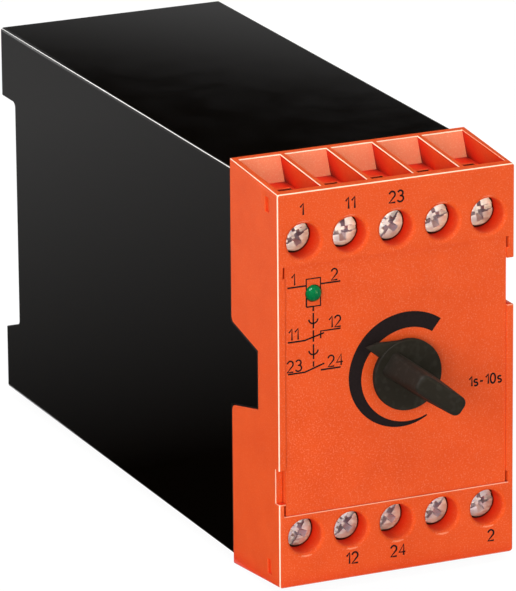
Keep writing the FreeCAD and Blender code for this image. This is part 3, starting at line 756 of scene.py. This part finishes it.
def screwTree():
    labels = list(screwSizes) + ["Head Radius", "Shank Length", "Turn"]
    inputs = {label: ("Float", 1.0) for label in labels}
    inputs.update({"Place": ("Vector", None), "Finish": ("Material", None)})
    tree, given, wanted = newGroup("terminalScrew", "GeometryNodeTree", inputs,
                                   {"Geometry": ("Geometry", None)})
    place = addNode(tree, "GeometryNodeInputPosition").outputs[0]
    x, y, z = addNode(tree, "ShaderNodeSeparateXYZ", {0: place}).outputs
    flat = addNode(tree, "ShaderNodeVectorMath", {0: joinVector(tree, x, y)},
                   operation="LENGTH").outputs["Value"]
    headRadius = given["Head Radius"]
    halfHead = sums(tree, "MULTIPLY", given["Head Height"], 0.5)

    # head: a disc whose upper face is domed and rolls over at the rim
    disc = addNode(tree, "GeometryNodeMeshCylinder", {
        "Vertices": 72, "Side Segments": 1, "Fill Segments": 26, "Radius": headRadius,
        "Depth": given["Head Height"]}, fill_type="TRIANGLE_FAN")
    shoulder = sums(tree, "SUBTRACT", headRadius, given["Rim"])
    over = sums(tree, "MAXIMUM", sums(tree, "SUBTRACT", flat, shoulder), 0.0)
    rimSquare, overSquare = (sums(tree, "POWER", length, 2.0) for length in (given["Rim"], over))
    left = sums(tree, "MAXIMUM", sums(tree, "SUBTRACT", rimSquare, overSquare), 0.0)
    rim = sums(tree, "SUBTRACT", given["Rim"], sums(tree, "SQRT", left))
    share = sums(tree, "POWER", sums(tree, "DIVIDE", flat, headRadius), 2.0)
    drop = sums(tree, "ADD", rim, sums(tree, "MULTIPLY", share, given["Crown"]))
    drop = sums(tree, "MULTIPLY", drop, sums(tree, "GREATER_THAN", z, 0.0))
    sunk = joinVector(tree, 0.0, 0.0, sums(tree, "MULTIPLY", drop, -1.0))
    head = addNode(tree, "GeometryNodeSetPosition",
                   {"Geometry": disc.outputs["Mesh"], "Offset": sunk})

    # driver slot right across, and two tapered bars of the cross
    across = sums(tree, "MULTIPLY", headRadius, screwCuts["slotLength"])
    slotDeep = sums(tree, "MULTIPLY", given["Slot Depth"], 2.0)
    slotBar = addNode(tree, "GeometryNodeMeshCube", {
        "Size": joinVector(tree, across, given["Slot Width"], slotDeep)})
    crossDeep = sums(tree, "MULTIPLY", given["Cross Depth"], 2.0)
    bar = addNode(tree, "GeometryNodeMeshCube", {
        "Size": joinVector(tree, given["Cross Length"], given["Cross Width"], crossDeep)})
    taper = spread(tree, sums(tree, "GREATER_THAN", z, 0.0), 0.0, 1.0, *screwCuts["taper"])
    narrowed = [sums(tree, "MULTIPLY", way, taper) for way in (x, y)]
    tapered = addNode(tree, "GeometryNodeSetPosition", {
        "Geometry": bar.outputs["Mesh"], "Position": joinVector(tree, *narrowed, z)})
    quarter = addNode(tree, "GeometryNodeTransform", {
        "Geometry": tapered.outputs[0], "Rotation": (0.0, 0.0, math.pi / 2)})
    cut = addNode(tree, "GeometryNodeMeshBoolean", {"Mesh 1": head.outputs[0]},
                  operation="DIFFERENCE", solver="EXACT")
    for cutter in (slotBar.outputs["Mesh"], tapered.outputs[0], quarter.outputs[0]):
        raised = addNode(tree, "GeometryNodeTransform", {
            "Geometry": cutter, "Translation": joinVector(tree, 0.0, 0.0, halfHead)})
        tree.links.new(raised.outputs[0], cut.inputs["Mesh 2"])

    # shank: its thread is a saw of the turn and the height
    shank = addNode(tree, "GeometryNodeMeshCylinder", {
        "Vertices": 28, "Side Segments": 96, "Radius": given["Shank Radius"],
        "Depth": given["Shank Length"]})
    turnShare = sums(tree, "DIVIDE", sums(tree, "ARCTAN2", y, x), 2 * math.pi)
    phase = sums(tree, "ADD", turnShare, sums(tree, "DIVIDE", z, given["Pitch"]))
    wave = sums(tree, "MULTIPLY", sums(tree, "PINGPONG", phase, 0.5), 2.0)
    depthShare = sums(tree, "DIVIDE", given["Thread Depth"], given["Shank Radius"])
    scale = sums(tree, "SUBTRACT", 1.0, sums(tree, "MULTIPLY", wave, depthShare))
    grooved = [sums(tree, "MULTIPLY", way, scale) for way in (x, y)]
    threaded = addNode(tree, "GeometryNodeSetPosition", {
        "Geometry": shank.outputs["Mesh"], "Position": joinVector(tree, *grooved, z)})
    length = sums(tree, "ADD", given["Shank Length"], given["Head Height"])
    down = sums(tree, "ADD", sums(tree, "MULTIPLY", length, -0.5), given["Rim"])
    lowered = addNode(tree, "GeometryNodeTransform", {
        "Geometry": threaded.outputs[0], "Translation": joinVector(tree, 0.0, 0.0, down)})
    whole = addNode(tree, "GeometryNodeMeshBoolean", operation="UNION", solver="EXACT")
    tree.links.new(cut.outputs["Mesh"], whole.inputs["Mesh 2"])
    tree.links.new(lowered.outputs[0], whole.inputs["Mesh 2"])

    # turned, laid with its head to the front, and put in place
    # the tree itself works in millimetres
    turned = addNode(tree, "GeometryNodeTransform", {
        "Geometry": whole.outputs["Mesh"], "Rotation": joinVector(tree, 0.0, 0.0, given["Turn"]),
        "Translation": joinVector(tree, 0.0, 0.0, sums(tree, "MULTIPLY", halfHead, -1.0))})
    placed = addNode(tree, "GeometryNodeTransform", {
        "Geometry": turned.outputs[0], "Translation": given["Place"],
        "Rotation": (math.pi / 2, 0.0, 0.0), "Scale": (mm, mm, mm)})
    endTree(tree, placed.outputs[0], given["Finish"], wanted)
    return tree


def addScrews():
    tree = screwTree()
    for tag in terminalTags:
        row, place = tag.split("_")
        low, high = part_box(f"terminal_screw_{tag}")
        sizes = dict(screwSizes)
        sizes["Head Radius"] = (high.x - low.x) / 2 / mm
        sizes["Shank Length"] = (high.y - low.y) / mm - sizes["Head Height"] + sizes["Rim"]
        sizes["Turn"] = math.radians(screwTurns[row][int(place) - 1])
        sizes["Place"] = ((low.x + high.x) / 2, low.y, (low.z + high.z) / 2)
        sizes["Finish"] = finishes["screwSteel"]
        mesh = bakeTree(f"screw_{tag}", tree, sizes)
        addPiece(f"screw_{tag}", mesh, f"screw_{tag}", f"terminal_screw_{tag}")


addScrews()
print("terminal screws made:", len(terminalTags))

# print: strokes in the plane of the front, x to the right and z up, in millimetres
inkStroke = {"width": 0.28, "height": 0.05, "bold": 0.32}


def arcPoints(x, z, radiusX, radiusZ, first, last, steps=10):
    angles = [math.radians(first + (last - first) * i / steps) for i in range(steps + 1)]
    return [(x + radiusX * math.cos(a), z + radiusZ * math.sin(a)) for a in angles]


# each sign is a list of strokes in a box one unit high
signs = {
    "0": [arcPoints(0.27, 0.5, 0.27, 0.5, 0, 360, 24)],
    "1": [[(0.06, 0.70), (0.34, 1.0), (0.34, 0.0)]],
    "2": [arcPoints(0.28, 0.71, 0.27, 0.29, 168, -38, 14) + [(0.0, 0.0), (0.57, 0.0)]],
    "3": [arcPoints(0.25, 0.76, 0.25, 0.24, 155, -90)
          + arcPoints(0.25, 0.27, 0.30, 0.27, 90, -155)],
    "4": [[(0.44, 0.0), (0.44, 1.0), (0.0, 0.30), (0.60, 0.30)]],
    "s": [arcPoints(0.20, 0.50, 0.18, 0.16, 30, 250)
          + arcPoints(0.20, 0.17, 0.19, 0.17, 75, -150)],
    "-": [[(0.04, 0.40), (0.36, 0.40)]],
}
signWidths = {"usual": 0.58, "1": 0.36, "s": 0.40, "-": 0.40}
signGap = 0.22


def wordStrokes(word, centre, base, height):
    widths = [signWidths.get(sign, signWidths["usual"]) for sign in word]
    x = centre - (sum(widths) + signGap * (len(word) - 1)) * height / 2
    strokes = []
    for sign, width in zip(word, widths):
        for stroke in signs[sign]:
            strokes.append([(x + u * height, base + v * height) for u, v in stroke])
        x += (width + signGap) * height
    return strokes


def strokeTree():
    tree, given, wanted = newGroup("inkStroke", "GeometryNodeTree", {
        "Geometry": ("Geometry", None), "Width": ("Float", mm), "Height": ("Float", mm),
        "Surface": ("Float", 0.0), "Finish": ("Material", None)}, {"Geometry": ("Geometry", None)})
    lines = addNode(tree, "GeometryNodeMeshToCurve", {"Mesh": given["Geometry"]})
    level = addNode(tree, "GeometryNodeSetCurveNormal", {"Curve": lines.outputs[0]}, mode="Z_UP")
    section = addNode(tree, "GeometryNodeCurvePrimitiveQuadrilateral", {
        "Width": given["Width"], "Height": given["Height"]})
    swept = addNode(tree, "GeometryNodeCurveToMesh", {
        "Curve": level.outputs[0], "Profile Curve": section.outputs[0], "Fill Caps": True})
    stood = addNode(tree, "GeometryNodeTransform", {
        "Geometry": swept.outputs[0], "Translation": joinVector(tree, 0.0, given["Surface"], 0.0),
        "Rotation": (math.pi / 2, 0.0, 0.0)})
    endTree(tree, stood.outputs[0], given["Finish"], wanted)
    return tree


inkTree = strokeTree()


def addPrint(name, strokes, surface, width):
    bm = bmesh.new()
    for stroke in strokes:
        points = [bm.verts.new((u * mm, v * mm, 0.0)) for u, v in stroke]
        for first, second in zip(points, points[1:]):
            bm.edges.new((first, second))
    values = {"Width": width * mm, "Height": inkStroke["height"] * mm, "Surface": surface,
              "Finish": finishes["printInk"]}
    mesh = bakeTree(name, inkTree, values, meshFrom(bm, name))
    addPiece(name, mesh, "housing")


terminalMarks = {
    "height": 2.0,
    "top": {"base": 31.35, "words": {"1": -17.95, "11": -8.85, "23": -0.07}},
    "bottom": {"base": -32.85, "words": {"12": -8.70, "24": 0.14, "2": 18.20}},
}


def addTerminalMarks():
    strokes = []
    for row in rows:
        marks = terminalMarks[row]
        for word, centre in marks["words"].items():
            strokes += wordStrokes(word, centre, marks["base"], terminalMarks["height"])
    addPrint("terminalMarks", strokes, hoodFront, inkStroke["bold"])


# circuit symbol: a coil, and a break and a make contact on one dashed link
circuitMark = {
    "left": -20.55, "right": -10.60, "hinge": -17.36, "tip": -13.70, "counter": -14.35,
    "link": -15.72, "coil": (-17.0, 14.75, -14.34, 19.73), "coilLead": 18.60,
    "breakLead": 8.85, "breakCounter": 10.13, "breakTip": 9.75, "makeLead": 3.15, "makeTip": 4.26,
    "arrowFeet": (11.69, 6.11), "arrowHalf": 0.85, "arrowRise": 0.78,
    "dashes": ((14.75, 13.90), (13.55, 11.69), (11.69, 10.80), (10.45, 8.40), (7.95, 6.11),
               (6.11, 5.30), (4.90, 3.90)),
    "words": (("1", -19.5, 18.95), ("2", -11.7, 18.95), ("11", -19.5, 9.20), ("12", -11.7, 10.50),
              ("23", -19.3, 3.50), ("24", -11.6, 3.50)), "wordHeight": 2.0,
}


def addCircuitMark():
    m = circuitMark
    left, right, hinge, tip, counter, link = (
        m[key] for key in ("left", "right", "hinge", "tip", "counter", "link"))
    x0, z0, x1, z1 = m["coil"]
    strokes = [
        [(x0, z0), (x1, z0), (x1, z1), (x0, z1), (x0, z0)],
        [(left, m["coilLead"]), (x0, m["coilLead"])],
        [(x1, m["coilLead"]), (right, m["coilLead"])],
        [(left, m["breakLead"]), (hinge, m["breakLead"]), (tip, m["breakTip"])],
        [(right, m["breakCounter"]), (counter, m["breakCounter"]), (counter, m["breakLead"])],
        [(left, m["makeLead"]), (hinge, m["makeLead"]), (tip, m["makeTip"])],
        [(counter, m["makeLead"]), (right, m["makeLead"])],
    ]
    for top, bottom in m["dashes"]:
        strokes.append([(link, top), (link, bottom)])
    for foot in m["arrowFeet"]:
        rise = m["arrowRise"]
        strokes.append(arcPoints(link, foot + rise, m["arrowHalf"], rise, 180, 360))
    for word, centre, base in m["words"]:
        strokes += wordStrokes(word, centre, base, m["wordHeight"])
    addPrint("circuitMark", strokes, plateFront, inkStroke["width"])


rangeMark = {"word": "1s-10s", "centre": 17.1, "base": -3.95, "height": 1.75}

# scale: a band round the knob that thins to a point, given by its outer and inner radius
# at some angles
scaleBand = {
    "centre": (1.75, 0.74), "steps": 120, "proud": 0.025, "blend": 9.0,
    "radii": (
        (-64.5, 9.66, 9.40), (-90.0, 10.05, 9.22), (-113.0, 10.32, 8.99), (-136.0, 10.57, 8.79),
        (-160.0, 10.80, 8.62), (-180.0, 10.86, 8.43), (-205.0, 10.66, 8.02), (-230.0, 10.60, 7.60),
        (-254.0, 10.56, 7.56), (-280.0, 10.66, 7.81), (-308.4, 10.90, 8.20)),
}


def radiiAt(angle):
    table = scaleBand["radii"]
    angle = min(max(angle, table[-1][0]), table[0][0])
    for first, second in zip(table, table[1:]):
        if angle >= second[0]:
            share = (angle - first[0]) / (second[0] - first[0])
            return [a + (b - a) * share for a, b in zip(first[1:], second[1:])]


def addScaleBand():
    s = scaleBand
    bm = bmesh.new()
    rings = []
    first, last = s["radii"][0][0], s["radii"][-1][0]
    for i in range(s["steps"] + 1):
        angle = first + (last - first) * i / s["steps"]
        reach = min(s["blend"], abs(angle - first), abs(angle - last))
        samples = [radiiAt(angle + reach * k / 2) for k in (-2, -1, 0, 1, 2)]
        turn = math.radians(angle)
        ring = []
        for radius in (sum(column) / len(samples) for column in zip(*samples)):
            for y in (plateFront - s["proud"] * mm, plateFront + s["proud"] * mm):
                x = s["centre"][0] + radius * math.cos(turn)
                z = s["centre"][1] + radius * math.sin(turn)
                ring.append(bm.verts.new((x * mm, y, z * mm)))
        rings.append([ring[0], ring[1], ring[3], ring[2]])
    for one, two in zip(rings, rings[1:]):
        for k in range(4):
            bm.faces.new((one[k], one[(k + 1) % 4], two[(k + 1) % 4], two[k]))
    bm.faces.new(rings[0])
    bm.faces.new(rings[-1])
    bmesh.ops.recalc_face_normals(bm, faces=bm.faces)
    addPiece("scaleBand", meshFrom(bm, "scaleBand"), "housing", finish="printInk")


addTerminalMarks()
addCircuitMark()
addPrint("rangeMark", wordStrokes(**rangeMark), plateFront, inkStroke["bold"])
addScaleBand()
print("print made")

# camera, light and floor
viewpoint = {
    "azimuth": -24.339, "elevation": 17.370, "roll": -0.481, "distance": 1091.39, "lens": 366.87,
    "target": (0.96, -57.7, -2.40),
}


def addCamera():
    turn, rise, roll = (math.radians(viewpoint[k]) for k in ("azimuth", "elevation", "roll"))
    back = Vector((math.sin(turn) * math.cos(rise), -math.cos(turn) * math.cos(rise),
                   math.sin(rise)))
    right = Vector((0, 0, 1)).cross(back).normalized()
    up = back.cross(right)
    across = right * math.cos(roll) + up * math.sin(roll)
    upward = up * math.cos(roll) - right * math.sin(roll)
    camera = addObject("camera", bpy.data.cameras.new("camera"))
    place = (Vector(viewpoint["target"]) + back * viewpoint["distance"]) * mm
    axes = Matrix((across, upward, back)).transposed().to_4x4()
    camera.matrix_world = Matrix.Translation(place) @ axes
    camera.data.lens = viewpoint["lens"]
    camera.data.sensor_width = 36.0
    camera.data.clip_end = 20.0
    bpy.context.scene.camera = camera


# lamps: direction from the object's middle, and distance and size in millimetres
lamps = {
    "keyLamp": {"from": (-0.69, -0.70, 0.22), "distance": 1600.0, "size": 960.0, "watts": 17.4,
                "glossy": False},
    "skyLamp": {"from": (0.0, -0.15, 1.0), "distance": 700.0, "size": 400.0, "watts": 2.0,
                "glossy": False},
    "frontLamp": {"from": (0.40, -0.87, 0.28), "distance": 700.0, "size": 300.0, "watts": 6.5,
                  "diffuse": False, "colour": (1.0, 0.94, 0.50), "shadow": False},
    "edgeLamp": {"from": (-0.30, 0.87, 0.40), "distance": 600.0, "size": 120.0, "watts": 0.35},
    "topLamp": {"from": (-0.42, -0.10, 0.90), "distance": 600.0, "size": 160.0, "watts": 3.0,
                "diffuse": False},
    "glintLamp": {"from": (-0.60, -0.20, 0.78), "distance": 600.0, "size": 250.0, "watts": 12.0,
                  "diffuse": False},
}
objectMiddle = Vector((0.0, (cadLow.y + cadHigh.y) / 2, 0.0))


def addLamp(name, look):
    lamp = bpy.data.lights.new(name, "AREA")
    lamp.energy = look["watts"]
    lamp.size = look["size"] * mm
    lamp.color = look.get("colour", white)
    lamp.use_shadow = look.get("shadow", True)
    holder = addObject(name, lamp)
    towards = Vector(look["from"]).normalized()
    turn = towards.to_track_quat("Z", "Y").to_matrix().to_4x4()
    place = objectMiddle + towards * look["distance"] * mm
    holder.matrix_world = Matrix.Translation(place) @ turn
    holder.visible_glossy = look.get("glossy", True)
    holder.visible_diffuse = look.get("diffuse", True)
    holder.visible_camera = False


# seen directly, in gloss or through glass, the surroundings are plain white
surroundings = {
    "ambient": 0.46, "floorSize": 8000.0, "floorTones": (0.80, 0.816), "cloudScale": 3.0,
    "floorGap": 0.05, "glow": 1.06, "shadowShare": 0.10,
}


def seenPlainly(tree):
    path = tree.nodes.new("ShaderNodeLightPath").outputs
    seen = sums(tree, "MAXIMUM", path["Is Camera Ray"], path["Is Glossy Ray"])
    return sums(tree, "MAXIMUM", seen, path["Is Transmission Ray"])


def addWorld():
    world = bpy.data.worlds.new("studio")
    world.use_nodes = True
    bpy.context.scene.world = world
    tree = world.node_tree
    background = tree.nodes["Background"]
    background.inputs["Color"].default_value = (*white, 1.0)
    strength = spread(tree, seenPlainly(tree), 0.0, 1.0, surroundings["ambient"], 1.0)
    tree.links.new(strength, background.inputs["Strength"])


def stagePlane(name, corners, material):
    mesh = bpy.data.meshes.new(name)
    mesh.from_pydata([[c * mm for c in corner] for corner in corners], [], [(0, 1, 2, 3)])
    mesh.materials.append(material)
    plane = addObject(name, mesh)
    return plane


# the material shows one shader or the other by share
def mixShaders(tree, share, first, second):
    mixed = addNode(tree, "ShaderNodeMixShader", {0: share, 1: first, 2: second})
    tree.links.new(mixed.outputs[0], tree.nodes["Material Output"].inputs["Surface"])


def addFloor():
    material, tree, shader, place = newMaterial("floorWhite")
    tones = [(tone, tone, tone) for tone in surroundings["floorTones"]]
    pale = mixColours(tree, noise(tree, place, surroundings["cloudScale"]), *tones)
    tree.links.new(pale, shader.inputs["Base Color"])
    shader.inputs["Specular IOR Level"].default_value = 0.0
    glow = addNode(tree, "ShaderNodeEmission",
                   {"Color": (*white, 1.0), "Strength": surroundings["glow"]})
    share = sums(tree, "MULTIPLY", seenPlainly(tree), 1 - surroundings["shadowShare"])
    mixShaders(tree, share, shader.outputs[0], glow.outputs[0])
    half = surroundings["floorSize"] / 2
    z = cadLow.z / mm - surroundings["floorGap"]
    corners = [(-half, -half, z), (half, -half, z), (half, half, z), (-half, half, z)]
    stagePlane("floor", corners, material)


# dark cards beside and behind the object shade the reflections in its black faces
cards = {
    "sideCard": {
        "corners": [(-200.0, -150.0, -36.4), (-22.8, -150.0, -36.4), (-22.8, 330.0, -36.4),
                    (-200.0, 330.0, -36.4)],
        "from": (-60.0, -45.0, -36.4), "to": (-60.0, 185.0, -36.4), "dark": 1.0, "light": 0.64,
    },
    "rearCard": {
        "corners": [(-28.0, 60.0, -36.0), (360.0, 60.0, -36.0), (360.0, 60.0, 420.0),
                    (-28.0, 60.0, 420.0)],
        "from": (54.0, 60.0, 70.0), "to": (64.0, 60.0, 26.0), "dark": 1.0, "light": 0.32,
    },
}


def addCard(name, look):
    material, tree, shader, place = newMaterial(name)
    first, last = Vector(look["from"]) * mm, Vector(look["to"]) * mm
    along = last - first
    moved = addNode(tree, "ShaderNodeVectorMath", {0: place, 1: tuple(first)},
                    operation="SUBTRACT").outputs[0]
    reach = addNode(tree, "ShaderNodeVectorMath",
                    {0: moved, 1: tuple(along / along.length_squared)},
                    operation="DOT_PRODUCT").outputs["Value"]
    share = spread(tree, reach, 0.0, 1.0, look["dark"], look["light"])
    shader.inputs["Base Color"].default_value = (0.0, 0.0, 0.0, 1.0)
    shader.inputs["Specular IOR Level"].default_value = 0.0
    clear = tree.nodes.new("ShaderNodeBsdfTransparent")
    mixShaders(tree, share, clear.outputs[0], shader.outputs[0])
    card = stagePlane(name, look["corners"], material)
    for way in ("camera", "diffuse", "shadow", "transmission"):
        setattr(card, "visible_" + way, False)


addCamera()
addWorld()
addFloor()
for name, look in lamps.items():
    addLamp(name, look)
for name, look in cards.items():
    addCard(name, look)
bpy.context.scene.view_settings.view_transform = "Standard"
print("studio set")
